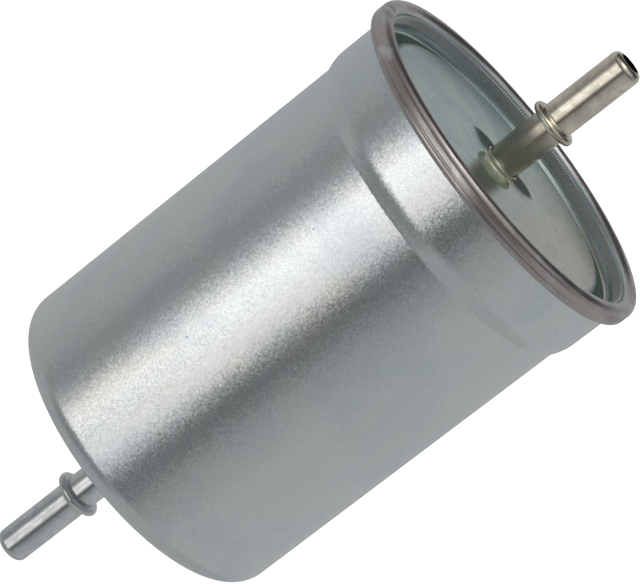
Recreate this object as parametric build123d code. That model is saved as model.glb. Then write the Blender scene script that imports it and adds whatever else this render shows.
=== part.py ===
from build123d import *
import math
import os

# In-line fuel filter for an injected engine: a drawn steel canister closed by a double-seamed
# cover, with a beaded quick-connect stem at each end and a spring-held pleated element inside.
# Millimetres. +Z runs along the filter from the inlet end to the outlet end, and the origin is
# on the axis in the middle of the straight wall that the bracket's clamp band grips.

# Canister
SHEET = 0.6
CAN_RADIUS = 36.75
MOUTH_RADIUS = 37.85
BASE_Z = -41.75
SHOULDER_RADIUS = 5.0
STEP_LOW_Z = 41.2
STEP_HIGH_Z = 45.7
STEP_BEND = 14.0
HOOK_BEND = 0.69
BODY_HOOK_END_Z = 58.25

# Rolled double seam between canister and cover
RIM_RADIUS = 40.0
RIM_TOP_Z = 61.1
RIM_LOW_Z = 56.75
RIM_BEND = 1.35
COVER_HOOK = 1.75
SEAM_GAP = 0.1
COMPOUND_DEPTH = 0.35

# Cover
PANEL_Z = 57.05
PANEL_RADIUS = 31.95
PANEL_BEND = 1.2
LEDGE_Z = 56.25
LEDGE_RADIUS = 35.85
LEDGE_WIDTH = 0.9
LEDGE_BEND = 0.35
GROOVE_RADIUS = 34.6
GROOVE_Z = 51.8
GROOVE_BEND = 1.35

# Stems, the 5/16 inch male quick-connect form
STEM_RADIUS = 3.945
STEM_BORE = 2.9
TIP_RADIUS = 1.5
BEAD_RADIUS = 5.55
BEAD_HALF = 0.85
BEAD_FILLET = 0.6
OUTLET_BEAD_Z = 71.3
OUTLET_TIP_Z = 91.05
INLET_BEAD_Z = -59.3
INLET_TIP_Z = -79.5
NOZZLE_END_Z = 43.5
INLET_END_Z = -38.3

# Stem joints: collar through the wall, projection-welded backing ring, brazed fillet
COLLAR_RADIUS = 4.5
COLLAR_RISE = 1.2
COLLAR_EDGE = 0.6
COLLAR_LIP = 0.25
DIMPLE_COUNT = 3
DIMPLE_CENTRE = 5.8
DIMPLE_SPAN = 4.9
DIMPLE_DEPTH = 1.1
RING_RADIUS = 11.5
RING_THICKNESS = 1.0
BRAZE_LEG = 0.8
FIT_GAP = 0.02

# Element
CAP_SHEET = 0.5
CAP_RADIUS = 33.0
CAP_SKIRT = 4.0
CAP_BEND = 0.8
UPPER_CAP_Z = 49.0
LOWER_CAP_Z = -24.0
POTTING_DEPTH = 2.0
POTTING_RADIUS = 32.2
MEDIA_RADIUS = 32.0
MEDIA_ROOT = 17.0
PAPER = 0.45
PLEATS = 54
TUBE_RADIUS = 15.0
TUBE_WALL = 0.6
TUBE_HOLE = 1.5
TUBE_ROWS = 9
TUBE_HOLES_ROUND = 10
CLIP_DEPTH = 4.2
CLIP_WALL = 0.3
CLIP_TIP_HALF = 0.55
NECK_RADIUS = 7.2
NECK_END_Z = 42.6
GROMMET_BORE = 4.0
GROMMET_LIP_WIDTH = 1.6
GROMMET_LIP_Z = 53.1
RETAINER_WIDTH = 2.4
RETAINER_GAP = 0.12

# Spring and the baffle it stands on
BAFFLE_RADIUS = 17.0
BAFFLE_SHEET = 0.8
BAFFLE_Z = -33.6
BAFFLE_LEGS = 4
BAFFLE_LEG_WIDTH = 8.0
BAFFLE_FOOT = 4.0
BOSS_RADIUS = 6.3
BOSS_DEPTH = 2.0
BOSS_BEND = 0.8
SPRING_RADIUS = 8.4
SPRING_WIRE = 1.4
SPRING_TURNS = 2.5

half = SHEET / 2
rim_wall = RIM_RADIUS - half
mouth_wall = MOUTH_RADIUS - half
cover_hook = MOUTH_RADIUS + SEAM_GAP + half
body_hook = cover_hook + SEAM_GAP + SHEET
chuck_wall = MOUTH_RADIUS - SHEET - SEAM_GAP - half
flange_z = RIM_TOP_Z - SHEET - 2.5 * SEAM_GAP - half
collar_hole = COLLAR_RADIUS + FIT_GAP


def turned(section):
    # a closed outline drawn as radius and height, turned about the filter's axis
    return revolve(Plane.XZ * section, Axis.Z)


def sheet_shell(corners, thickness):
    # sheet metal of one thickness along a run of (radius, height, bend) corners
    points = [Vector(radius, z) for radius, z, bend in corners]
    runs = [(after - before).normalized() for before, after in zip(points, points[1:])]
    sides = {1: [], -1: []}
    for index, point in enumerate(points):
        into = runs[max(index - 1, 0)]
        away = runs[min(index, len(runs) - 1)]
        mitre = (into + away).rotate(Axis.Z, 90) / (1 + into.dot(away))
        turn = math.copysign(1, into.cross(away).Z)
        for side in sides:
            bend = corners[index][2] - side * turn * thickness / 2
            sides[side].append((point + mitre * (side * thickness / 2), bend))
    outline = sides[1] + sides[-1][::-1]
    section = make_face(Polyline([point for point, bend in outline], close=True))
    for point, bend in sides[1][1:-1] + sides[-1][1:-1]:
        corner = section.vertices().sort_by_distance(point)[0]
        section = fillet(corner, bend)
    return turned(section)


def ring(inner, outer, low, high):
    tube = Cylinder(outer, high - low) - Cylinder(inner, high - low)
    return Pos(0, 0, (low + high) / 2) * tube


def dimple_balls(growth, face_z, outward):
    # spheres whose caps are the weld dimples pressed into a wall round its stem
    sphere_radius = (DIMPLE_SPAN ** 2 + DIMPLE_DEPTH ** 2) / (2 * DIMPLE_DEPTH)
    centre_z = face_z + outward * (sphere_radius - DIMPLE_DEPTH)
    balls = []
    for index in range(DIMPLE_COUNT):
        angle = math.radians(360 / DIMPLE_COUNT * index - 90)
        x = DIMPLE_CENTRE * math.cos(angle)
        y = DIMPLE_CENTRE * math.sin(angle)
        balls.append(Pos(x, y, centre_z) * Sphere(sphere_radius + growth))
    return balls


def dimpled(wall, face_z, outward):
    # the dimples stand out of the wall's inner side and are hollow on its outer side
    reach = 2 * (SHEET + DIMPLE_DEPTH)
    inner_side = Pos(0, 0, face_z - outward * (half + reach / 2)) * Cylinder(RING_RADIUS, reach)
    bulges = [ball & inner_side for ball in dimple_balls(SHEET, face_z, outward)]
    dents = dimple_balls(0, face_z, outward)
    hole = Pos(0, 0, face_z) * Cylinder(collar_hole, 2 * reach)
    return wall + bulges - dents - hole


def canister():
    corners = [
        (collar_hole, BASE_Z + half, 0),
        (CAN_RADIUS - half, BASE_Z + half, SHOULDER_RADIUS - half),
        (CAN_RADIUS - half, STEP_LOW_Z, STEP_BEND),
        (mouth_wall, STEP_HIGH_Z, STEP_BEND),
        (mouth_wall, flange_z, HOOK_BEND),
        (body_hook, flange_z, HOOK_BEND),
        (body_hook, BODY_HOOK_END_Z, 0),
    ]
    return dimpled(sheet_shell(corners, SHEET), BASE_Z, -1)


def end_cover():
    rim_z = RIM_TOP_Z - half
    curl_z = RIM_LOW_Z + half
    ledge_inner = LEDGE_RADIUS - LEDGE_WIDTH
    corners = [
        (cover_hook, curl_z + COVER_HOOK, 0),
        (cover_hook, curl_z, HOOK_BEND),
        (rim_wall, curl_z, HOOK_BEND),
        (rim_wall, rim_z, RIM_BEND),
        (chuck_wall, rim_z, RIM_BEND),
        (LEDGE_RADIUS, LEDGE_Z, LEDGE_BEND),
        (ledge_inner, LEDGE_Z - half, LEDGE_BEND),
        (GROOVE_RADIUS, GROOVE_Z, GROOVE_BEND),
        (PANEL_RADIUS - half, GROOVE_Z, GROOVE_BEND),
        (PANEL_RADIUS - half, PANEL_Z - half, PANEL_BEND),
        (collar_hole, PANEL_Z - half, 0),
    ]
    return dimpled(sheet_shell(corners, SHEET), PANEL_Z, 1)


def seam_compound():
    # the bead of sealing compound squeezed between the canister's flange and the cover's turn
    outer_radius = (rim_wall - chuck_wall) / 2 - half - FIT_GAP
    inner_radius = (body_hook - mouth_wall) / 2 + half + FIT_GAP
    outer_middle = (rim_wall + chuck_wall) / 2
    inner_middle = (mouth_wall + body_hook) / 2
    under_cover = Pos(outer_middle, RIM_TOP_Z - SHEET - FIT_GAP - outer_radius) * Circle(outer_radius)
    over_flange = Pos(inner_middle, flange_z + half + FIT_GAP - inner_radius) * Circle(inner_radius)
    low_z = flange_z - COMPOUND_DEPTH
    height = RIM_TOP_Z - low_z
    band = Pos(outer_middle, low_z + height / 2) * Rectangle(2 * RIM_RADIUS - 2 * chuck_wall, height)
    return turned((under_cover - over_flange) & band)


def stem_tube(tip_z, bead_z, end_z):
    # a tube with a rounded tip, a folded bead and a plain inner end
    out = 1 if tip_z > end_z else -1
    mouth = STEM_RADIUS - TIP_RADIUS
    with BuildLine() as outline:
        Polyline([
            (STEM_BORE, end_z),
            (STEM_RADIUS, end_z),
            (STEM_RADIUS, bead_z - out * BEAD_HALF),
            (BEAD_RADIUS, bead_z - out * BEAD_HALF),
            (BEAD_RADIUS, bead_z + out * BEAD_HALF),
            (STEM_RADIUS, bead_z + out * BEAD_HALF),
            (STEM_RADIUS, tip_z - out * TIP_RADIUS),
        ])
        CenterArc((mouth, tip_z - out * TIP_RADIUS), TIP_RADIUS, 0, out * 90)
        Polyline([
            (mouth, tip_z),
            (STEM_BORE, tip_z - out * TIP_RADIUS),
            (STEM_BORE, end_z),
        ])
    section = make_face(outline.line)
    crest = section.vertices().filter_by(lambda v: abs(v.X - BEAD_RADIUS) < FIT_GAP)
    section = fillet(crest, BEAD_HALF - FIT_GAP)
    root = section.vertices().sort_by_distance((STEM_RADIUS, bead_z + out * BEAD_HALF))[0]
    return turned(fillet(root, BEAD_FILLET))


def stem_collar(face_z, outward):
    # the flared collar that seals the stem in its hole
    seat_z = face_z - outward * (SHEET + DIMPLE_DEPTH)
    top_z = face_z + outward * COLLAR_RISE
    bore = STEM_RADIUS + FIT_GAP
    section = make_face(Polyline([
        (bore, seat_z),
        (COLLAR_RADIUS, seat_z),
        (COLLAR_RADIUS, top_z - outward * COLLAR_EDGE),
        (bore + COLLAR_LIP, top_z),
        (bore, top_z),
        (bore, seat_z),
    ]))
    return turned(section)


def backing_ring(face_z, outward):
    near = face_z - outward * (SHEET + DIMPLE_DEPTH + FIT_GAP)
    far = near - outward * RING_THICKNESS
    return ring(STEM_RADIUS + FIT_GAP, RING_RADIUS, min(near, far), max(near, far))


def braze_fillet(face_z, outward):
    # copper braze in the corner between the backing ring and the tube
    top = face_z - outward * (SHEET + DIMPLE_DEPTH + RING_THICKNESS + 2 * FIT_GAP)
    bore = STEM_RADIUS + FIT_GAP
    section = make_face(Polyline([
        (bore, top),
        (bore + BRAZE_LEG, top),
        (bore, top - outward * BRAZE_LEG),
        (bore, top),
    ]))
    return turned(section)


def inlet_baffle():
    # a dish on four legs over the inlet: it spreads the fuel and carries the spring
    dish = sheet_shell([
        (FIT_GAP, BAFFLE_Z - BOSS_DEPTH, 0),
        (BOSS_RADIUS, BAFFLE_Z - BOSS_DEPTH, BOSS_BEND),
        (BOSS_RADIUS, BAFFLE_Z, BOSS_BEND),
        (BAFFLE_RADIUS, BAFFLE_Z, 0),
    ], BAFFLE_SHEET)
    floor_z = BASE_Z + SHEET + FIT_GAP
    leg_height = BAFFLE_Z - floor_z
    leg_radius = BAFFLE_RADIUS - BAFFLE_SHEET
    post = Box(BAFFLE_SHEET, BAFFLE_LEG_WIDTH, leg_height)
    foot = Box(BAFFLE_FOOT, BAFFLE_LEG_WIDTH, BAFFLE_SHEET)
    legs = []
    for index in range(BAFFLE_LEGS):
        turn = Rot(0, 0, 360 / BAFFLE_LEGS * (index + 0.5))
        legs.append(turn * Pos(leg_radius, 0, floor_z + leg_height / 2) * post)
        legs.append(turn * Pos(leg_radius + BAFFLE_FOOT / 2, 0, floor_z + BAFFLE_SHEET / 2) * foot)
    centre = Pos(0, 0, BAFFLE_Z - BOSS_DEPTH) * Cylinder(1, BAFFLE_SHEET)
    return dish + centre + legs


def element_spring():
    # a round wire coil between the baffle and the lower end cap
    low = BAFFLE_Z + BAFFLE_SHEET / 2 + SPRING_WIRE / 2 + FIT_GAP
    high = LOWER_CAP_Z - CAP_SHEET / 2 - SPRING_WIRE / 2 - FIT_GAP
    height = high - low
    path = Helix(pitch=height / SPRING_TURNS, height=height, radius=SPRING_RADIUS)
    profile = Plane(path @ 0, z_dir=path % 0) * Circle(SPRING_WIRE / 2)
    return Pos(0, 0, low) * sweep(profile, path, is_frenet=True)


def lower_end_cap():
    # closed, with a boss that keeps the spring central
    cap = sheet_shell([
        (FIT_GAP, LOWER_CAP_Z - BOSS_DEPTH, 0),
        (BOSS_RADIUS, LOWER_CAP_Z - BOSS_DEPTH, BOSS_BEND),
        (BOSS_RADIUS, LOWER_CAP_Z, BOSS_BEND),
        (CAP_RADIUS, LOWER_CAP_Z, CAP_BEND),
        (CAP_RADIUS, LOWER_CAP_Z + CAP_SKIRT, 0),
    ], CAP_SHEET)
    return cap + Pos(0, 0, LOWER_CAP_Z - BOSS_DEPTH) * Cylinder(1, CAP_SHEET)


def upper_end_cap():
    # open in the middle, with a neck that holds the grommet
    return sheet_shell([
        (NECK_RADIUS, NECK_END_Z, 0),
        (NECK_RADIUS, UPPER_CAP_Z, CAP_BEND),
        (CAP_RADIUS, UPPER_CAP_Z, CAP_BEND),
        (CAP_RADIUS, UPPER_CAP_Z - CAP_SKIRT, 0),
    ], CAP_SHEET)


def potting(cap_z, inward):
    near = cap_z + inward * (CAP_SHEET / 2 + FIT_GAP)
    far = near + inward * POTTING_DEPTH
    return ring(TUBE_RADIUS + TUBE_WALL, POTTING_RADIUS, min(near, far), max(near, far))


def media_span():
    margin = CAP_SHEET / 2 + POTTING_DEPTH + 2 * FIT_GAP
    return LOWER_CAP_Z + margin, UPPER_CAP_Z - margin


def pleated_media():
    # resin-bonded paper folded into a star
    low, high = media_span()
    folds = []
    for index in range(2 * PLEATS):
        radius = MEDIA_RADIUS - PAPER / 2 if index % 2 == 0 else MEDIA_ROOT
        angle = math.pi * index / PLEATS
        folds.append((radius * math.cos(angle), radius * math.sin(angle)))
    star = make_face(Polyline(folds, close=True))
    paper = offset(star, amount=PAPER / 2) - offset(star, amount=-PAPER / 2)
    return Pos(0, 0, low) * extrude(paper, high - low)


def pleat_seam_clip():
    # a folded strip that closes the paper's two ends at one pleat
    low, high = media_span()
    tip = MEDIA_RADIUS + CLIP_WALL + FIT_GAP
    inner_half = CLIP_TIP_HALF - CLIP_WALL / 2
    mouth_half = CLIP_DEPTH * math.tan(math.pi / PLEATS) + PAPER
    outline = [
        (tip, CLIP_TIP_HALF),
        (tip, -CLIP_TIP_HALF),
        (tip - CLIP_DEPTH, -mouth_half - CLIP_WALL),
        (tip - CLIP_DEPTH, -mouth_half),
        (tip - CLIP_WALL, -inner_half),
        (tip - CLIP_WALL, inner_half),
        (tip - CLIP_DEPTH, mouth_half),
        (tip - CLIP_DEPTH, mouth_half + CLIP_WALL),
    ]
    section = make_face(Polyline(outline, close=True))
    return Pos(0, 0, low) * extrude(section, high - low)


def centre_tube():
    # the perforated steel tube that holds the paper up against the flow
    low = LOWER_CAP_Z + CAP_SHEET / 2 + FIT_GAP
    high = UPPER_CAP_Z - CAP_SHEET / 2 - FIT_GAP
    tube = ring(TUBE_RADIUS - TUBE_WALL / 2, TUBE_RADIUS + TUBE_WALL / 2, low, high)
    pitch = (high - low) / (TUBE_ROWS + 1)
    drills = []
    for row in range(TUBE_ROWS):
        for place in range(TUBE_HOLES_ROUND // 2):
            angle = 360 / TUBE_HOLES_ROUND * (place + 0.5 * (row % 2))
            drill = Rot(0, 0, angle) * Rot(0, 90, 0) * Cylinder(TUBE_HOLE, 2.5 * TUBE_RADIUS)
            drills.append(Pos(0, 0, low + pitch * (row + 1)) * drill)
    return tube - drills


def outlet_grommet():
    # the rubber ring that seals the element to the outlet tube and lets it slide
    wall = NECK_RADIUS - CAP_SHEET / 2 - FIT_GAP
    lip_low = UPPER_CAP_Z + CAP_SHEET / 2 + FIT_GAP
    body = ring(GROMMET_BORE, wall, NECK_END_Z, lip_low)
    lip = ring(GROMMET_BORE, NECK_RADIUS + GROMMET_LIP_WIDTH, lip_low, GROMMET_LIP_Z)
    return body + lip


def grommet_retainer():
    # a pressed cup spot-welded to the cap over the grommet's lip
    lip_edge = NECK_RADIUS + GROMMET_LIP_WIDTH + RETAINER_GAP + CAP_SHEET / 2
    lid_z = GROMMET_LIP_Z + FIT_GAP + CAP_SHEET / 2
    foot_z = UPPER_CAP_Z + CAP_SHEET + FIT_GAP
    return sheet_shell([
        (GROMMET_BORE + 1.5, lid_z, 0),
        (lip_edge, lid_z, 0.35),
        (lip_edge, foot_z, 0.3),
        (lip_edge + RETAINER_WIDTH, foot_z, 0),
    ], CAP_SHEET)


sub_parts = {
    "canister": canister(),
    "end_cover": end_cover(),
    "seam_compound": seam_compound(),
    "outlet_stem": stem_tube(OUTLET_TIP_Z, OUTLET_BEAD_Z, NOZZLE_END_Z),
    "outlet_collar": stem_collar(PANEL_Z, 1),
    "outlet_backing_ring": backing_ring(PANEL_Z, 1),
    "outlet_braze": braze_fillet(PANEL_Z, 1),
    "inlet_stem": stem_tube(INLET_TIP_Z, INLET_BEAD_Z, INLET_END_Z),
    "inlet_collar": stem_collar(BASE_Z, -1),
    "inlet_backing_ring": backing_ring(BASE_Z, -1),
    "inlet_braze": braze_fillet(BASE_Z, -1),
    "inlet_baffle": inlet_baffle(),
    "element_spring": element_spring(),
    "lower_end_cap": lower_end_cap(),
    "lower_potting": potting(LOWER_CAP_Z, 1),
    "pleated_media": pleated_media(),
    "pleat_seam_clip": pleat_seam_clip(),
    "centre_tube": centre_tube(),
    "upper_potting": potting(UPPER_CAP_Z, -1),
    "upper_end_cap": upper_end_cap(),
    "outlet_grommet": outlet_grommet(),
    "grommet_retainer": grommet_retainer(),
}

os.makedirs("parts", exist_ok=True)
for node, shape in sub_parts.items():
    export_step(shape, f"parts/{node}.step")
    print(node, round(shape.volume, 1), "mm3")
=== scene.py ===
import bpy
import bmesh
import math
import numpy as np
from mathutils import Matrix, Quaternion, Vector


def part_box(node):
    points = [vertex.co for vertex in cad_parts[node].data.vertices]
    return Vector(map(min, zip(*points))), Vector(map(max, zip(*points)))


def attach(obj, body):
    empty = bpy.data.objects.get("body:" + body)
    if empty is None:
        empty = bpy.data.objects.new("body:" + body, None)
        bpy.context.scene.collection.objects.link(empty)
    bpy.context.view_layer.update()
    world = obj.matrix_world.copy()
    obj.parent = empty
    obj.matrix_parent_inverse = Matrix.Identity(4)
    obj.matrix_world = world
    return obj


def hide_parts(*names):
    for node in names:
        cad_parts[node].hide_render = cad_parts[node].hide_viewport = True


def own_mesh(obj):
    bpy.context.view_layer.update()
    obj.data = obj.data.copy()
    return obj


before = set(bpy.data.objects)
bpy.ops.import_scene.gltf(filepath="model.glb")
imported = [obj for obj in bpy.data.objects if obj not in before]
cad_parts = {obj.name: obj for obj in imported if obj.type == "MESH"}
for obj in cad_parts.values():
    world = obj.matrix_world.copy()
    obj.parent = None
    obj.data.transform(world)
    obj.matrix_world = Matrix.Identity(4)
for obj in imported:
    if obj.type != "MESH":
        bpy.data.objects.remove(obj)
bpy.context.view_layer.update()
mm = 0.001
print("frame loaded,", len(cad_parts), "nodes")


# shader maths

class Wire:
    # an output socket that can stand in a Python sum
    def __init__(self, tree, socket):
        self.tree = tree
        self.socket = socket

    def maths(self, operation, *others):
        return self.tree.add("ShaderNodeMath", {"operation": operation}, [self, *others])

    def __add__(self, other):
        return self.maths("ADD", other)

    def __radd__(self, other):
        return self.maths("ADD", other)

    def __sub__(self, other):
        return self.maths("SUBTRACT", other)

    def __rsub__(self, other):
        return self.tree.add("ShaderNodeMath", {"operation": "SUBTRACT"}, [other, self])

    def __mul__(self, other):
        return self.maths("MULTIPLY", other)

    def __rmul__(self, other):
        return self.maths("MULTIPLY", other)


class NodeTree:
    def __init__(self, owner):
        owner.use_nodes = True
        self.nodes = owner.node_tree.nodes
        self.links = owner.node_tree.links
        self.nodes.clear()

    def add(self, kind, settings=None, values=None, out=0):
        # settings first, then socket values or links; gives the chosen output
        node = self.nodes.new(kind)
        for key, value in (settings or {}).items():
            if key == "stops":
                self.setStops(node.color_ramp, value)
            else:
                setattr(node, key, value)
        pairs = enumerate(values) if isinstance(values, list) else (values or {}).items()
        for key, value in pairs:
            if isinstance(value, Wire):
                self.links.new(value.socket, node.inputs[key])
            else:
                node.inputs[key].default_value = value
        return Wire(self, node.outputs[out]) if len(node.outputs) else node

    def setStops(self, ramp, stops):
        while len(ramp.elements) < len(stops):
            ramp.elements.new(0.5)
        for element, (place, colour) in zip(ramp.elements, stops):
            element.position = place
            element.color = (*colour, 1)

    def place(self):
        # where the point is on the part, in millimetres
        spot = self.add("ShaderNodeTexCoord", out=3)
        return self.add("ShaderNodeVectorMath", {"operation": "SCALE"}, {0: spot, "Scale": 1 / mm})

    def split(self, vector):
        first = self.add("ShaderNodeSeparateXYZ", None, [vector])
        return [Wire(self, output) for output in first.socket.node.outputs]

    def stretch(self, vector, factors):
        return self.add("ShaderNodeVectorMath", {"operation": "MULTIPLY"}, [vector, factors])

    def noise(self, vector, scale, detail=2.0, roughness=0.5, distortion=0.0):
        return self.add("ShaderNodeTexNoise", None, {
            "Vector": vector, "Scale": scale, "Detail": detail,
            "Roughness": roughness, "Distortion": distortion,
        })

    def cells(self, vector, scale, feature="F1"):
        return self.add("ShaderNodeTexVoronoi", {"feature": feature}, {"Vector": vector, "Scale": scale})

    def facets(self, vector, scale):
        # a heap of small flat crystals, each with a lean of its own
        seeds = self.cells(vector, scale)
        colour, spot = [Wire(self, output) for output in list(seeds.socket.node.outputs)[1:3]]
        lean = self.add("ShaderNodeVectorMath", {"operation": "SUBTRACT"}, [colour, (0.5, 0.5, 0.5)])
        off = self.add("ShaderNodeVectorMath", {"operation": "SUBTRACT"}, [vector, spot])
        return self.add("ShaderNodeVectorMath", {"operation": "DOT_PRODUCT"}, [off, lean], out=1)

    def fade(self, value, start, end, first=0.0, last=1.0):
        return self.add("ShaderNodeMapRange", {"interpolation_type": "SMOOTHSTEP"}, {
            "Value": value, "From Min": start, "From Max": end, "To Min": first, "To Max": last,
        })

    def band(self, value, middle, half, soft):
        # one inside a band, nothing outside it
        off = (value - middle).maths("ABSOLUTE")
        return self.fade(off, half - soft, half + soft, 1.0, 0.0)

    def blend(self, share, first, second, mode="MIX"):
        paints = [c if isinstance(c, Wire) else (*c, 1) for c in (first, second)]
        return self.add("ShaderNodeMix", {"data_type": "RGBA", "blend_type": mode}, {
            0: share, 6: paints[0], 7: paints[1],
        }, out=2)

    def surface(self, colour, roughness, height, **fixed):
        # height is in millimetres
        values = {"Base Color": colour, "Roughness": roughness}
        if height is not None:
            values["Normal"] = self.add("ShaderNodeBump", None, {"Distance": mm, "Height": height})
        values.update({name.replace("_", " "): value for name, value in fixed.items()})
        shader = self.add("ShaderNodeBsdfPrincipled", None, values)
        self.add("ShaderNodeOutputMaterial", None, {"Surface": shader})


def newFinish(name):
    material = bpy.data.materials.new(name)
    return material, NodeTree(material)


# turned shapes

def bentLine(corners, step, turn=4.0):
    # (radius, height, bend) corners to points along the middle of the sheet and their left sides
    spots = [np.array(c[:2], float) for c in corners]
    points = []
    sides = []

    def put(point, heading):
        points.append(point)
        sides.append((-heading[1], heading[0]))

    def run(start, end):
        gap = end - start
        length = np.linalg.norm(gap)
        heading = gap / length
        marks = np.linspace(0, length, max(int(length / step), 1) + 1)
        near = min(0.08, length / 4)
        marks = np.unique(np.concatenate([marks, [near, length - near]]))
        for mark in marks:
            put(start + heading * mark, heading)

    start = spots[0]
    for index in range(1, len(spots) - 1):
        into = spots[index] - spots[index - 1]
        away = spots[index + 1] - spots[index]
        into /= np.linalg.norm(into)
        away /= np.linalg.norm(away)
        cross = into[0] * away[1] - into[1] * away[0]
        angle = math.atan2(cross, into @ away)
        bend = corners[index][2]
        reach = bend * math.tan(abs(angle) / 2)
        run(start, spots[index] - into * reach)
        inward = np.array([-into[1], into[0]]) * math.copysign(1, angle)
        centre = spots[index] - into * reach + inward * bend
        count = max(int(abs(math.degrees(angle)) / turn), 2)
        for part in np.arange(1, count) / count:
            swing = angle * part
            c, s = math.cos(swing), math.sin(swing)
            heading = np.array([into[0] * c - into[1] * s, into[0] * s + into[1] * c])
            outward = np.array([heading[1], -heading[0]]) * math.copysign(1, angle)
            put(centre + outward * bend, heading)
        start = spots[index] + away * reach
    run(start, spots[-1])
    return np.array(points), np.array(sides)


def newMesh(name, points, faces, body, *finishes):
    mesh = bpy.data.meshes.new(name)
    mesh.from_pydata((np.asarray(points) * mm).tolist(), [], faces)
    shaper = bmesh.new()
    shaper.from_mesh(mesh)
    bmesh.ops.recalc_face_normals(shaper, faces=shaper.faces)
    shaper.to_mesh(mesh)
    shaper.free()
    mesh.shade_smooth()
    mesh.set_sharp_from_angle(angle=math.radians(38))
    for finish in finishes:
        mesh.materials.append(finish)
    piece = bpy.data.objects.new(name, mesh)
    bpy.context.scene.collection.objects.link(piece)
    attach(piece, body)
    return piece


def turnedPoints(outline, turns):
    angles = np.arange(turns) / turns * 2 * math.pi
    radius = outline[None, :, 0]
    x = radius * np.cos(angles)[:, None]
    y = radius * np.sin(angles)[:, None]
    z = np.broadcast_to(outline[None, :, 1], x.shape)
    return np.stack([x, y, z], axis=2).reshape(-1, 3)


def turnedFaces(count, turns):
    faces = []
    for i in range(turns):
        here = i * count
        there = (i + 1) % turns * count
        for j in range(count):
            k = (j + 1) % count
            faces.append((here + j, there + j, there + k, here + k))
    return faces


def turnedPiece(name, outline, turns, body, *finishes, shaped=None):
    points = turnedPoints(outline, turns)
    if shaped:
        points = shaped(points)
    return newMesh(name, points, turnedFaces(len(outline), turns), body, *finishes)


def smooth(value, low, high):
    share = np.clip((value - low) / (high - low), 0, 1)
    return share * share * (3 - 2 * share)


# weld dimples, pressed into the cover and the base in the same places

dimple = {
    "count": 3,
    "centre": 5.8,
    "span": 4.9,
    "depth": 1.1,
    "lip": 0.35,         # softness of the rounded edge
    "reach": 11.6,       # the flat that they are pressed into
}


def dimpled(points, faceZ, outward, depthBelow):
    # sinks the sheet round the stem: both skins go down together
    ball = (dimple["span"] ** 2 + dimple["depth"] ** 2) / (2 * dimple["depth"])
    radius = np.hypot(points[:, 0], points[:, 1])
    level = (faceZ - points[:, 2]) * outward
    flat = (radius < dimple["reach"]) & (level > -0.3) & (level < depthBelow)
    for index in range(dimple["count"]):
        angle = math.radians(360 / dimple["count"] * index - 90)
        cx = dimple["centre"] * math.cos(angle)
        cy = dimple["centre"] * math.sin(angle)
        off = np.hypot(points[:, 0] - cx, points[:, 1] - cy)
        bowl = ball - dimple["depth"] - np.sqrt(np.maximum(ball ** 2 - off ** 2, 0))
        soft = dimple["lip"]
        sunk = -0.5 * (bowl - np.sqrt(bowl ** 2 + (soft * 0.25) ** 2))
        sunk *= 1 - smooth(off, dimple["span"] + 0.2, dimple["span"] + 1.6)
        points[:, 2] -= np.where(flat, outward * np.clip(sunk, 0, dimple["depth"]), 0)
    return points


# canister

can = {
    "sheet": 0.6,
    "radius": 36.75,
    "mouth": 37.85,
    "base": -41.75,
    "shoulder": 5.0,
    "stepLow": 42.4,
    "stepHigh": 45.2,
    "stepBend": 2.5,
    "flareBend": 9.5,    # the step's upper bend is softer than its foot
    "hookBend": 0.69,
    "hookEnd": 58.25,
    "hole": 4.52,
    "fineTo": 11.8,      # finer rings inside this radius, for the dimples
    "turns": 288,
    "paint": {
        "zinc": (0.69, 0.73, 0.735),
        "blue": (0.64, 0.70, 0.745),
        "straw": (0.70, 0.725, 0.675),
        "pit": (0.33, 0.33, 0.32),
    },
}
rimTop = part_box("end_cover")[1].z / mm
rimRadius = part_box("end_cover")[1].x / mm
seamGap = 0.1


def canZinc():
    paint = can["paint"]
    finish, tree = newFinish("canZinc")
    spot = tree.place()
    clouds = tree.noise(spot, 0.045, 4, 0.6, 0.6)
    drift = tree.noise(tree.stretch(spot, (1, 1, 0.35)), 0.09, 3, 0.5, 0.3)
    grain = tree.noise(spot, 3.4, 3, 0.75)
    fine = tree.noise(spot, 6.0, 2, 0.6)
    drawn = tree.noise(tree.stretch(spot, (1.6, 1.6, 0.03)), 1.0, 3, 0.6)
    pits = tree.fade(tree.cells(spot, 0.34), 0.03, 0.08, 1.0, 0.0)
    rare = tree.fade(tree.noise(spot, 0.11, 1), 0.52, 0.62)
    pits = pits * rare
    scuffs = tree.fade(tree.noise(tree.stretch(spot, (0.08, 0.08, 2.2)), 1.0, 4, 0.7, 0.4), 0.66, 0.74)
    colour = tree.blend(tree.fade(clouds, 0.42, 0.62), paint["zinc"], paint["blue"])
    colour = tree.blend(tree.fade(drift, 0.5, 0.72, 0.0, 0.75), colour, paint["straw"])
    mottled = tree.fade(grain, 0.3, 0.7, 0.93, 1.03)
    colour = tree.blend(1.0, colour, mottled, "MULTIPLY")
    colour = tree.blend(pits * 0.7, colour, paint["pit"])
    roughness = 0.16 + tree.fade(clouds, 0.35, 0.65, 0.0, 0.06) + pits * 0.25 + scuffs * 0.06
    roughness = roughness + tree.fade(fine, 0.3, 0.7, -0.03, 0.03)
    height = tree.facets(spot, 2.8) * 0.066 + grain * 0.016 + fine * 0.006
    height = height + drawn * 0.004 - pits * 0.03 - scuffs * 0.002
    tree.surface(colour, roughness, height, Metallic=1.0)
    return finish


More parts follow.
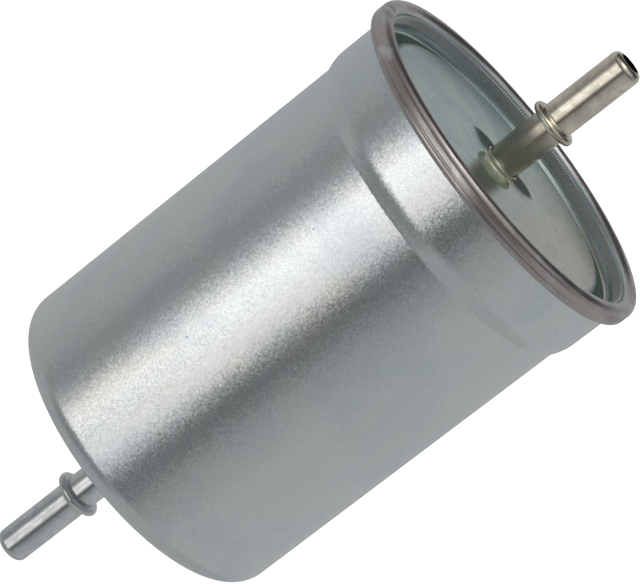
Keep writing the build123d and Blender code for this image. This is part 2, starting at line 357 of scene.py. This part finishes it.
def makeCanister():
    half = can["sheet"] / 2
    hook = can["mouth"] + seamGap + half
    flange = rimTop - can["sheet"] - 2.5 * seamGap - half
    corners = [
        (can["hole"], can["base"] + half, 0),
        (can["fineTo"], can["base"] + half, 0),
        (can["radius"] - half, can["base"] + half, can["shoulder"] - half),
        (can["radius"] - half, can["stepLow"], can["stepBend"]),
        (can["mouth"] - half, can["stepHigh"], can["flareBend"]),
        (can["mouth"] - half, flange, can["hookBend"]),
        (hook + seamGap + can["sheet"], flange, can["hookBend"]),
        (hook + seamGap + can["sheet"], can["hookEnd"], 0),
    ]
    points, sides = bentLine(corners, 0.8)
    near = bentLine([corners[0], (can["fineTo"], can["base"] + half, 0)], 0.16)
    away = points[:, 0] > can["fineTo"]
    away |= points[:, 1] > can["base"] + 2
    points = np.concatenate([near[0], points[away]])
    sides = np.concatenate([near[1], sides[away]])
    outline = np.concatenate([points + sides * half, (points - sides * half)[::-1]])
    piece = turnedPiece("canister_skin", outline, can["turns"], "housing", canZinc(),
                        shaped=lambda p: dimpled(p, can["base"], -1, 1.0))
    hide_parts("canister")
    return piece


makeCanister()
print("canister done")


# end cover with its rolled rim

cover = {
    "sheet": 0.6,
    "rimLow": 56.75,
    "rimBend": 1.35,
    "hook": 1.75,
    "panel": 57.05,
    "panelRadius": 31.95,
    "panelBend": 1.2,
    "ledge": 56.25,
    "ledgeRadius": 35.85,
    "ledgeWidth": 0.9,
    "ledgeBend": 0.35,
    "groove": 34.6,
    "grooveLow": 51.8,
    "grooveBend": 1.35,
    "platedTo": 36.75,         # plating inside this radius, rolled bare steel outside it
    "turns": 320,
    "rollerLine": (58.35, 0.16, 0.09),     # height, half width and depth of the roller's mark
    "nick": (-171, 0.7, 0.16),              # where round the rim, half length and depth
    "paint": {
        "panel": (0.55, 0.675, 0.635),
        "panelBlue": (0.50, 0.63, 0.64),
        "beige": (0.64, 0.65, 0.58),
        "grooveShadeGreen": (0.52, 0.64, 0.60),
        # wall: painted shade for the chuck wall inside the rim, also the colour of stains and grip wear
        "wall": (0.50, 0.59, 0.60),
        "rim": (0.44, 0.41, 0.395),
        "rimDark": (0.26, 0.235, 0.22),
        "rimBright": (0.68, 0.67, 0.66),
    },
}


def rolledRim():
    paint = cover["paint"]
    finish, tree = newFinish("rolledRim")
    spot = tree.place()
    streaks = tree.noise(tree.stretch(spot, (0.06, 0.06, 0.42)), 1.0, 3, 0.55, 0.3)
    blots = tree.noise(tree.stretch(spot, (0.14, 0.14, 0.3)), 1.0, 3, 0.6, 0.3)
    fine = tree.noise(spot, 4.0, 3, 0.7)
    tracks = tree.noise(tree.stretch(spot, (0.03, 0.03, 7.0)), 1.0, 2, 0.6)
    colour = tree.blend(tree.fade(streaks, 0.52, 0.72, 0.0, 0.6), paint["rim"], paint["rimDark"])
    colour = tree.blend(tree.fade(blots, 0.5, 0.75, 0.0, 0.8), colour, paint["rimBright"])
    colour = tree.blend(tree.fade(fine, 0.55, 0.8, 0.0, 0.4), colour, paint["rimDark"])
    roughness = 0.24 + tree.fade(streaks, 0.4, 0.7, 0.0, 0.14) + tree.fade(fine, 0.3, 0.7, -0.03, 0.05)
    height = tracks * 0.002 + streaks * 0.004 + fine * 0.010
    tree.surface(colour, roughness, height, Metallic=1.0)
    return finish


def coverPlating():
    paint = cover["paint"]
    finish, tree = newFinish("coverPlating")
    spot = tree.place()
    x, y, z = tree.split(spot)
    away = (x * x + y * y).maths("SQRT")
    clouds = tree.noise(spot, 0.06, 4, 0.6, 0.8)
    swirls = tree.noise(tree.stretch(spot, (1, 1, 0.2)), 0.13, 5, 0.62, 2.4)
    grain = tree.noise(spot, 2.6, 3, 0.7)
    rings = tree.noise(tree.add("ShaderNodeCombineXYZ", None, [away, 0.0, 0.0]), 2.2, 3, 0.6)
    colour = tree.blend(tree.fade(clouds, 0.4, 0.62), paint["panel"], paint["panelBlue"])
    side = tree.fade(x + clouds * 22 - 8, 0, 22)
    colour = tree.blend(side, colour, paint["beige"])
    stain = tree.band(swirls, 0.56, 0.02, 0.02) * 0.15
    colour = tree.blend(stain, colour, paint["wall"])
    # painted shade: the deep groove round the panel is painted a darker green
    deep = tree.fade(z, 56.3, 55.0) * tree.fade(away, 31.5, 32.2)
    colour = tree.blend(deep * 0.9, colour, paint["grooveShadeGreen"])
    # painted shade: the chuck wall inside the rim is painted darker and bluer than the panel
    wall = tree.fade(away, 35.0, 35.4)
    colour = tree.blend(wall, colour, paint["wall"])
    roughness = 0.25 + tree.fade(clouds, 0.35, 0.65, 0.0, 0.05) + stain * 0.3 + deep * 0.26
    height = grain * 0.004 + rings * 0.002 + swirls * 0.002
    tree.surface(colour, roughness, height, Metallic=1.0)
    return finish


def shapedCover(points):
    points = dimpled(points, cover["panel"], 1, 0.9)
    radius = np.hypot(points[:, 0], points[:, 1])
    angle = np.degrees(np.arctan2(points[:, 1], points[:, 0]))
    lineZ, lineHalf, lineDepth = cover["rollerLine"]
    onSide = radius > rimRadius - 0.12
    drop = lineDepth * (1 - smooth(np.abs(points[:, 2] - lineZ), lineHalf * 0.3, lineHalf * 1.7))
    wave = 0.006 * (1 + np.sin(np.radians(angle) * 5 + 1.1) * 0.5 + np.sin(np.radians(angle) * 11) * 0.5)
    cut = np.where(onSide, drop, 0)
    crest = (radius > 36.2) & (points[:, 2] > rimTop - 0.9) & (radius < rimRadius + 0.01)
    nickAt, nickHalf, nickDepth = cover["nick"]
    bite = 1 - smooth(np.abs(angle - nickAt) * math.radians(1) * 38, nickHalf * 0.3, nickHalf * 1.4)
    low = nickDepth * bite * smooth(points[:, 2], rimTop - 0.9, rimTop)
    points[:, 2] -= np.where(crest, low + wave * smooth(points[:, 2], rimTop - 0.5, rimTop), 0)
    scale = np.where(radius > 0, (radius - cut) / np.maximum(radius, 1e-6), 1)
    points[:, 0] *= scale
    points[:, 1] *= scale
    return points


def coverCorners():
    half = cover["sheet"] / 2
    hook = can["mouth"] + seamGap + half
    chuck = can["mouth"] - can["sheet"] - seamGap - half
    rimZ = rimTop - half
    curlZ = cover["rimLow"] + half
    ledgeIn = cover["ledgeRadius"] - cover["ledgeWidth"]
    return [
        (hook, curlZ + cover["hook"], 0),
        (hook, curlZ, can["hookBend"]),
        (rimRadius - half, curlZ, can["hookBend"]),
        (rimRadius - half, rimZ, cover["rimBend"]),
        (chuck, rimZ, cover["rimBend"]),
        (cover["ledgeRadius"], cover["ledge"], cover["ledgeBend"]),
        (ledgeIn, cover["ledge"] - half, cover["ledgeBend"]),
        (cover["groove"], cover["grooveLow"], cover["grooveBend"]),
        (cover["panelRadius"] - half, cover["grooveLow"], cover["grooveBend"]),
        (cover["panelRadius"] - half, cover["panel"] - half, cover["panelBend"]),
        (can["hole"], cover["panel"] - half, 0),
    ]


def makeCover():
    half = cover["sheet"] / 2
    points, sides = bentLine(coverCorners(), 0.18, 5.0)
    outline = np.concatenate([points + sides * half, (points - sides * half)[::-1]])
    piece = turnedPiece("cover_pressing", outline, cover["turns"], "housing",
                        rolledRim(), coverPlating(), shaped=shapedCover)
    for face in piece.data.polygons:
        centre = face.center / mm
        inside = math.hypot(centre.x, centre.y) < cover["platedTo"] and centre.z < rimTop - 0.7
        face.material_index = 1 if inside else 0
    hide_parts("end_cover")
    return piece


# the chuck's grip marks, a band of fine upright ribs inside the rim
grip = {
    "low": 57.15,
    "high": 59.8,
    "runIn": 0.5,
    "runOut": 0.4,
    "ribs": 372,
    "proud": 0.28,
    "buried": 0.2,
    # the root colour is painted shade in the valleys between the ribs
    "paint": {"top": (0.60, 0.63, 0.64), "root": (0.12, 0.135, 0.14)},
}


def gripMetal():
    paint = grip["paint"]
    finish, tree = newFinish("gripMetal")
    spot = tree.place()
    x, y, z = tree.split(spot)
    away = (x * x + y * y).maths("SQRT")
    slope = away - (z - cover["ledge"]) * 0.22
    wear = tree.noise(spot, 0.5, 3, 0.6)
    fine = tree.noise(spot, 5.0, 2, 0.6)
    # painted shade: the valleys between the ribs are painted near black, the rib crests plain metal
    raised = tree.fade(slope + wear * 0.03, 35.50, 35.62, 1.0, 0.0)
    colour = tree.blend(raised, paint["root"], paint["top"])
    colour = tree.blend(tree.fade(wear, 0.5, 0.7, 0.0, 0.25), colour, cover["paint"]["wall"])
    tree.surface(colour, 0.3 + fine * 0.1, fine * 0.004, Metallic=1.0)
    return finish


def makeGripMarks():
    chuck = can["mouth"] - can["sheet"] - seamGap - cover["sheet"] / 2
    rimZ = rimTop - cover["sheet"] / 2
    lean = (chuck - cover["ledgeRadius"]) / (rimZ - cover["ledge"])
    perRib = 6
    turns = grip["ribs"] * perRib
    heights = np.linspace(grip["low"], grip["high"], 12)
    wall = chuck + (heights - rimZ) * lean - cover["sheet"] / 2 / math.cos(math.atan(lean))
    ends = smooth(heights, grip["low"], grip["low"] + grip["runIn"])
    ends = ends * (1 - smooth(heights, grip["high"] - grip["runOut"], grip["high"]))
    angles = np.arange(turns) / turns * 2 * math.pi
    rib = 0.5 + 0.5 * np.cos(angles * grip["ribs"])
    uneven = 0.75 + 0.25 * np.sin(angles * 7 + 0.6) * np.cos(angles * 3)
    front = wall[None, :] + 0.03 - grip["proud"] * ends[None, :] * (rib * uneven)[:, None]
    back = wall[None, :] + grip["buried"] + np.zeros((turns, 1))
    radius = np.concatenate([front, back[:, ::-1]], axis=1)
    z = np.concatenate([heights, heights[::-1]])[None, :] + np.zeros((turns, 1))
    x = radius * np.cos(angles)[:, None]
    y = radius * np.sin(angles)[:, None]
    points = np.stack([x, y, z], axis=2).reshape(-1, 3)
    piece = newMesh("grip_marks", points, turnedFaces(len(heights) * 2, turns), "housing", gripMetal())
    return piece


makeCover()
makeGripMarks()
print("cover done")


# stems and their collars

stem = {
    "radius": 3.945,
    "bore": 2.9,
    "tip": 1.5,
    "bead": 5.55,
    "beadHalf": 0.85,
    "beadFillet": 0.6,
    "turns": 96,
    "outletBead": 71.3,
    "inletBead": -59.3,
    "outlet": {
        "base": (0.78, 0.73, 0.63),
        "second": (0.60, 0.56, 0.47),
        "tint": (0.70, 0.66, 0.44),
        "dark": (0.20, 0.17, 0.12),
        "foot": ((0.40, 0.37, 0.27), 0.75),      # painted shade low on the stem next to the cover, and its share
    },
    "inlet": {
        "base": (0.68, 0.70, 0.71),
        "second": (0.55, 0.58, 0.60),
        "tint": (0.64, 0.64, 0.60),
        "dark": (0.24, 0.25, 0.26),
        "foot": ((0.50, 0.49, 0.44), 0.0),
    },
}


def tubeZinc(name, paint, beadZ):
    finish, tree = newFinish(name)
    spot = tree.place()
    x, y, z = tree.split(spot)
    drawn = tree.noise(tree.stretch(spot, (2.6, 2.6, 0.06)), 1.0, 4, 0.65)
    clouds = tree.noise(spot, 0.22, 4, 0.6, 0.8)
    fine = tree.noise(spot, 5.0, 3, 0.65)
    turning = tree.noise(tree.stretch(spot, (0.2, 0.2, 4.0)), 1.0, 2, 0.6)
    nearBead = tree.band(z + clouds * 3 - 1.5, beadZ, 2.4, 1.6)
    colour = tree.blend(tree.fade(clouds, 0.38, 0.66), paint["base"], paint["second"])
    colour = tree.blend(nearBead * 0.18, colour, paint["tint"])
    # painted shade: the stem is painted darker towards its foot, where the cover's rim shades it
    footShadeColour, share = paint["foot"]
    footShadeMask = tree.fade(z.maths("ABSOLUTE") + clouds * 5, 62.5, 71.5, share, 0.0)
    colour = tree.blend(footShadeMask, colour, footShadeColour)
    colour = tree.blend(tree.fade(drawn, 0.6, 0.75, 0.0, 0.55), colour, paint["dark"])
    roughness = 0.13 + tree.fade(clouds, 0.35, 0.65, 0.0, 0.07) + tree.fade(fine, 0.3, 0.7, -0.02, 0.04)
    height = drawn * 0.006 + fine * 0.004 + turning * nearBead * 0.006
    tree.surface(colour, roughness, height, Metallic=1.0)
    return finish


def stemOutline(tipZ, beadZ, endZ):
    out = 1 if tipZ > endZ else -1
    r = stem["radius"]
    b = stem["bead"]
    h = stem["beadHalf"]
    f = stem["beadFillet"]
    t = stem["tip"]
    points = []

    def line(start, end, step=0.4):
        count = max(int(math.dist(start, end) / step), 1)
        points.extend((np.array(start) + (np.array(end) - start) * k / count) for k in range(count))

    def arc(cr, cz, size, first, last, count):
        for k in range(count):
            angle = math.radians(first + (last - first) * k / count)
            points.append((cr + size * math.cos(angle), cz + out * size * math.sin(angle)))

    low = beadZ - out * h
    high = beadZ + out * h
    crest = h - 0.02
    line((stem["bore"], endZ), (r, endZ), 0.3)
    line((r, endZ), (r, low), 0.5)
    line((r, low), (b - crest, low), 0.15)
    arc(b - crest, low + out * crest, crest, -90, 90, 22)
    line((b - crest, high), (r + f, high), 0.15)
    arc(r + f, high + out * f, f, 270, 180, 8)
    line((r, high + out * f), (r, tipZ - out * t), 0.5)
    arc(r - t, tipZ - out * t, t, 0, 90, 14)
    line((r - t, tipZ), (stem["bore"], tipZ - out * t), 0.2)
    line((stem["bore"], tipZ - out * t), (stem["bore"], endZ), 1.0)
    return np.array([np.asarray(p, float) for p in points])


def makeStem(node, paint, beadZ, name):
    low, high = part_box(node)
    upward = beadZ > 0
    tipZ = (high.z if upward else low.z) / mm
    endZ = (low.z if upward else high.z) / mm
    piece = turnedPiece(name, stemOutline(tipZ, beadZ, endZ), stem["turns"], "housing",
                        tubeZinc(name + "Zinc", paint, beadZ))
    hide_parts(node)
    return piece


collar = {
    "radius": 4.5,
    "bore": 3.965,
    "rise": 1.2,
    "edge": 0.6,
    "lip": 0.25,
    "under": 1.7,
}


def collarZinc(name, paint):
    finish, tree = newFinish(name)
    spot = tree.place()
    clouds = tree.noise(spot, 0.35, 3, 0.6, 0.8)
    fine = tree.noise(spot, 3.0, 3, 0.65)
    colour = tree.blend(tree.fade(clouds, 0.4, 0.6), paint["tint"], paint["base"])
    colour = tree.blend(tree.fade(fine, 0.6, 0.8, 0.0, 0.5), colour, paint["dark"])
    tree.surface(colour, 0.22 + fine * 0.12, fine * 0.02 + clouds * 0.03, Metallic=1.0)
    return finish


def makeCollar(node, paint, faceZ, outward, name):
    bore = collar["bore"]
    seat = faceZ - outward * collar["under"]
    top = faceZ + outward * collar["rise"]
    edge = collar["edge"]
    outer = collar["radius"]
    outline = [(bore, seat), (outer, seat)]
    outline += [(outer, z) for z in np.linspace(seat, faceZ - outward * 0.05, 5)[1:]]
    span = outer - bore - collar["lip"]
    rise = abs(top - faceZ) - edge * 0.3
    for k in range(0, 13):
        swing = math.pi / 2 * k / 12
        lift = 0.05 + rise * (1 - math.cos(swing))
        outline.append((outer - span * math.sin(swing), faceZ + outward * lift))
    outline.append((bore + collar["lip"] * 0.8, top - outward * edge * 0.15))
    outline.append((bore + collar["lip"] * 0.4, top))
    outline.append((bore, top))
    piece = turnedPiece(name, np.array(outline), stem["turns"], "housing",
                        collarZinc(name + "Zinc", paint))
    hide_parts(node)
    return piece


makeStem("outlet_stem", stem["outlet"], stem["outletBead"], "outlet_tube")
makeStem("inlet_stem", stem["inlet"], stem["inletBead"], "inlet_tube")
makeCollar("outlet_collar", stem["outlet"], cover["panel"], 1, "outlet_flare")
makeCollar("inlet_collar", stem["inlet"], can["base"], -1, "inlet_flare")
print("stems done")


# spring under the element; the real one shortens as the element slides, this coil is built at one fixed
# length

coil = {"radius": 8.4, "wire": 1.4, "turns": 2.5, "around": 20, "steps": 48}


def springWire():
    finish, tree = newFinish("springWire")
    spot = tree.place()
    scale = tree.noise(spot, 0.8, 4, 0.65)
    drawn = tree.noise(tree.stretch(spot, (0.5, 0.5, 4.0)), 1.0, 3, 0.6)
    colour = tree.blend(tree.fade(scale, 0.35, 0.65), (0.30, 0.30, 0.32), (0.18, 0.17, 0.17))
    tree.surface(colour, 0.32 + scale * 0.2, scale * 0.01 + drawn * 0.008, Metallic=1.0)
    return finish


def makeSpring():
    low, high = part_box("element_spring")
    wire = coil["wire"] / 2
    start = low.z / mm + wire
    rise = (high.z - low.z) / mm - 2 * wire
    steps = int(coil["turns"] * coil["steps"])
    points = []
    for i in range(steps + 1):
        swing = coil["turns"] * 2 * math.pi * i / steps
        outward = np.array([math.cos(swing), math.sin(swing), 0])
        centre = outward * coil["radius"] + np.array([0, 0, start + rise * i / steps])
        for k in range(coil["around"]):
            turn = 2 * math.pi * k / coil["around"]
            across = outward * wire * math.cos(turn)
            points.append(centre + across + np.array([0, 0, wire * math.sin(turn)]))
    count = coil["around"]
    faces = []
    for i in range(steps):
        for k in range(count):
            beside = (k + 1) % count
            here = i * count
            faces.append((here + k, here + beside, here + count + beside, here + count + k))
    faces += [tuple(range(count)), tuple(steps * count + k for k in range(count))]
    piece = newMesh("spring_wire", points, faces, "housing", springWire())
    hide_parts("element_spring")
    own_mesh(piece)
    return piece


makeSpring()
print("spring done")


# finishes of the pieces that stay as the frame has them

def plainSteel():
    finish, tree = newFinish("plainSteel")
    spot = tree.place()
    clouds = tree.noise(spot, 0.12, 4, 0.6, 0.5)
    fine = tree.noise(spot, 3.0, 3, 0.7)
    colour = tree.blend(tree.fade(clouds, 0.4, 0.65), (0.52, 0.53, 0.54), (0.42, 0.42, 0.41))
    tree.surface(colour, 0.34 + clouds * 0.15, fine * 0.01, Metallic=1.0)
    return finish


def copperBraze():
    finish, tree = newFinish("copperBraze")
    spot = tree.place()
    flow = tree.noise(spot, 0.8, 3, 0.6, 0.6)
    colour = tree.blend(tree.fade(flow, 0.4, 0.65), (0.80, 0.46, 0.27), (0.45, 0.25, 0.16))
    tree.surface(colour, 0.28 + flow * 0.2, flow * 0.06, Metallic=1.0)
    return finish


def softFinish(name, light, dark, roughness, grainSize, relief):
    finish, tree = newFinish(name)
    spot = tree.place()
    clouds = tree.noise(spot, 0.2, 4, 0.6, 0.4)
    grain = tree.noise(spot, grainSize, 3, 0.7)
    colour = tree.blend(tree.fade(clouds + grain * 0.3, 0.45, 0.85), light, dark)
    tree.surface(colour, roughness + grain * 0.15, grain * relief + clouds * relief)
    return finish


def filterPaper():
    finish, tree = newFinish("filterPaper")
    spot = tree.place()
    fibres = tree.noise(tree.stretch(spot, (1, 1, 2.5)), 3.5, 5, 0.75, 1.2)
    resin = tree.noise(spot, 0.12, 4, 0.6)
    embossed = tree.add("ShaderNodeTexWave", {"bands_direction": "Z"}, {
        "Vector": spot, "Scale": 0.35, "Distortion": 0.6, "Detail": 1.0,
    })
    colour = tree.blend(tree.fade(resin, 0.35, 0.65), (0.80, 0.66, 0.36), (0.70, 0.53, 0.26))
    colour = tree.blend(tree.fade(fibres, 0.55, 0.75, 0.0, 0.45), colour, (0.90, 0.82, 0.60))
    tree.surface(colour, 0.75 + fibres * 0.15, fibres * 0.04 + embossed * 0.05)
    return finish


steel = plainSteel()
braze = copperBraze()
plastisol = softFinish("pottingPlastisol", (0.52, 0.17, 0.10), (0.34, 0.09, 0.05), 0.42, 1.4, 0.03)
sealant = softFinish("seamSealant", (0.30, 0.12, 0.08), (0.20, 0.07, 0.05), 0.5, 2.0, 0.03)
rubber = softFinish("nitrileRubber", (0.035, 0.035, 0.038), (0.06, 0.058, 0.055), 0.5, 2.2, 0.02)
inside = {
    "inlet_backing_ring": steel,
    "outlet_backing_ring": steel,
    "inlet_baffle": steel,
    "lower_end_cap": steel,
    "upper_end_cap": steel,
    "centre_tube": steel,
    "pleat_seam_clip": steel,
    "grommet_retainer": steel,
    "inlet_braze": braze,
    "outlet_braze": braze,
    "lower_potting": plastisol,
    "upper_potting": plastisol,
    "seam_compound": sealant,
    "outlet_grommet": rubber,
    "pleated_media": filterPaper(),
}
for node, finish in inside.items():
    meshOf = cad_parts[node].data
    meshOf.materials.clear()
    meshOf.materials.append(finish)
print("inner finishes done")


# studio

studio = {
    "floorDrop": 1.7,
    "floorHalf": 14.0,
    # level of the light that comes from below the horizon, by azimuth in degrees
    "round": [
        (-180, 0.45), (-116, 0.46), (-91, 0.40), (-79, 0.32), (-70, 0.28), (-62, 0.33), (-54, 0.56),
        (-47, 1.08), (-40, 1.22), (-33, 0.93), (-25, 0.82), (-16, 1.14), (-9, 1.12), (-2, 0.78),
        (3, 0.38), (7, 0.17), (12, 0.11), (18, 0.16), (25, 0.25), (31, 0.33), (39, 0.38), (48, 0.40),
        (60, 0.46), (80, 0.48), (100, 0.49), (130, 0.49), (180, 0.45),
    ],
    "front": 0.15,             # above the horizon, on the camera's side
    "back": 0.50,              # and on the far side
    "highFront": 0.55,         # higher up, on the camera's side
    "highBack": 0.08,          # and on the far side
    "under": 0.42,             # straight below
    "shade": 0.26,             # under the soft box
    "top": (-25, 68, 15, 1.5),     # azimuth, height and half width of the overhead panel, and its level
    "cameraDistance": 0.693,
    "cameraRise": 17.2,
    "cameraRoll": 52.0,
    "lens": 189.0,
    "aim": (-0.0022, 0.0, 0.01078),
}


def facingTo(azimuth, rise):
    a = math.radians(azimuth)
    e = math.radians(rise)
    return Vector((math.sin(a) * math.cos(e), -math.cos(a) * math.cos(e), math.sin(e)))


def makeWorld():
    world = bpy.data.worlds.new("studio")
    bpy.context.scene.world = world
    tree = NodeTree(world)
    facing = tree.add("ShaderNodeTexCoord", out=0)
    x, y, z = tree.split(facing)
    azimuth = x.maths("ARCTAN2", y * -1) * (180 / math.pi)
    stops = [((angle + 180) / 360, (level / 1.5,) * 3) for angle, level in studio["round"]]
    ramp = tree.add("ShaderNodeValToRGB", {"stops": stops}, [azimuth * (1 / 360) + 0.5])
    low = ramp * 1.5
    shade = tree.band(azimuth, -28, 42, 14)
    bottom = studio["under"] - shade * tree.fade(z, -0.93, -0.8) * (studio["under"] - studio["shade"])
    behind = tree.fade(azimuth.maths("ABSOLUTE"), 62, 125)
    high = studio["front"] + behind * (studio["back"] - studio["front"])
    lifted = tree.fade(z, 0.36, 0.52)
    upper = studio["highFront"] + behind * (studio["highBack"] - studio["highFront"])
    high = high * (1 - lifted) + lifted * upper
    under = tree.fade(z, -0.45, -0.51)
    low = low * (1 - under) + bottom * under
    over = tree.fade(z, -0.06, 0.07)
    level = low * (1 - over) + high * over
    aim, rise, half, bright = studio["top"]
    towards = [facing, facingTo(aim, rise)]
    near = tree.add("ShaderNodeVectorMath", {"operation": "DOT_PRODUCT"}, towards, out=1)
    panel = tree.fade(near, math.cos(math.radians(half + 5)), math.cos(math.radians(half - 5)))
    level = level + panel * bright
    warm = tree.blend(tree.fade(level, 0.5, 0.95), (0.985, 1.0, 1.005), (1.045, 1.0, 0.985))
    tint = tree.add("ShaderNodeVectorMath", {"operation": "SCALE"}, {0: warm, "Scale": level})
    rays = tree.add("ShaderNodeLightPath", out=0)
    background = tree.add("ShaderNodeBackground", None, {"Color": tint})
    paper = tree.add("ShaderNodeBackground", None, {"Color": (1, 1, 1, 1)})
    shown = tree.add("ShaderNodeMixShader", None, [rays, background, paper])
    tree.add("ShaderNodeOutputWorld", None, {"Surface": shown})


def makeFloor():
    half = studio["floorHalf"]
    drop = -studio["floorDrop"]
    corners = [(-half, -half, drop), (half, -half, drop), (half, half, drop), (-half, half, drop)]
    mesh = bpy.data.meshes.new("studio_floor")
    mesh.from_pydata(corners, [], [(0, 1, 2, 3)])
    finish, tree = newFinish("floorPaper")
    mottle = tree.noise(tree.place(), 0.002, 3, 0.5)
    colour = tree.blend(tree.fade(mottle, 0.3, 0.7), (0.93, 0.93, 0.93), (0.97, 0.97, 0.97))
    tree.surface(colour, 0.9, None, Emission_Color=(1, 1, 1, 1), Emission_Strength=0.8)
    mesh.materials.append(finish)
    floor = bpy.data.objects.new("studio_floor", mesh)
    bpy.context.scene.collection.objects.link(floor)
    floor.visible_glossy = False
    floor.visible_diffuse = False


def makeCamera():
    back = facingTo(0, studio["cameraRise"])
    data = bpy.data.cameras.new("camera")
    data.lens = studio["lens"]
    camera = bpy.data.objects.new("camera", data)
    bpy.context.scene.collection.objects.link(camera)
    camera.location = Vector(studio["aim"]) + back * studio["cameraDistance"]
    camera.rotation_mode = "QUATERNION"
    roll = Quaternion((0, 0, 1), math.radians(studio["cameraRoll"]))
    camera.rotation_quaternion = (-back).to_track_quat("-Z", "Y") @ roll
    bpy.context.scene.camera = camera


def makeLamp(name, azimuth, rise, distance, size, power):
    back = facingTo(azimuth, rise)
    data = bpy.data.lights.new(name, "AREA")
    data.shape = "RECTANGLE"
    data.size, data.size_y = size
    data.energy = power
    lamp = bpy.data.objects.new(name, data)
    bpy.context.scene.collection.objects.link(lamp)
    lamp.location = back * distance
    lamp.rotation_mode = "QUATERNION"
    lamp.rotation_quaternion = (-back).to_track_quat("-Z", "Y")
    lamp.visible_camera = False
    return lamp


makeWorld()
makeFloor()
makeCamera()
makeLamp("key_softbox", -30, -14, 1.6, (0.55, 0.4), 0.4)
bpy.context.scene.view_settings.view_transform = "Standard"
print("studio done")
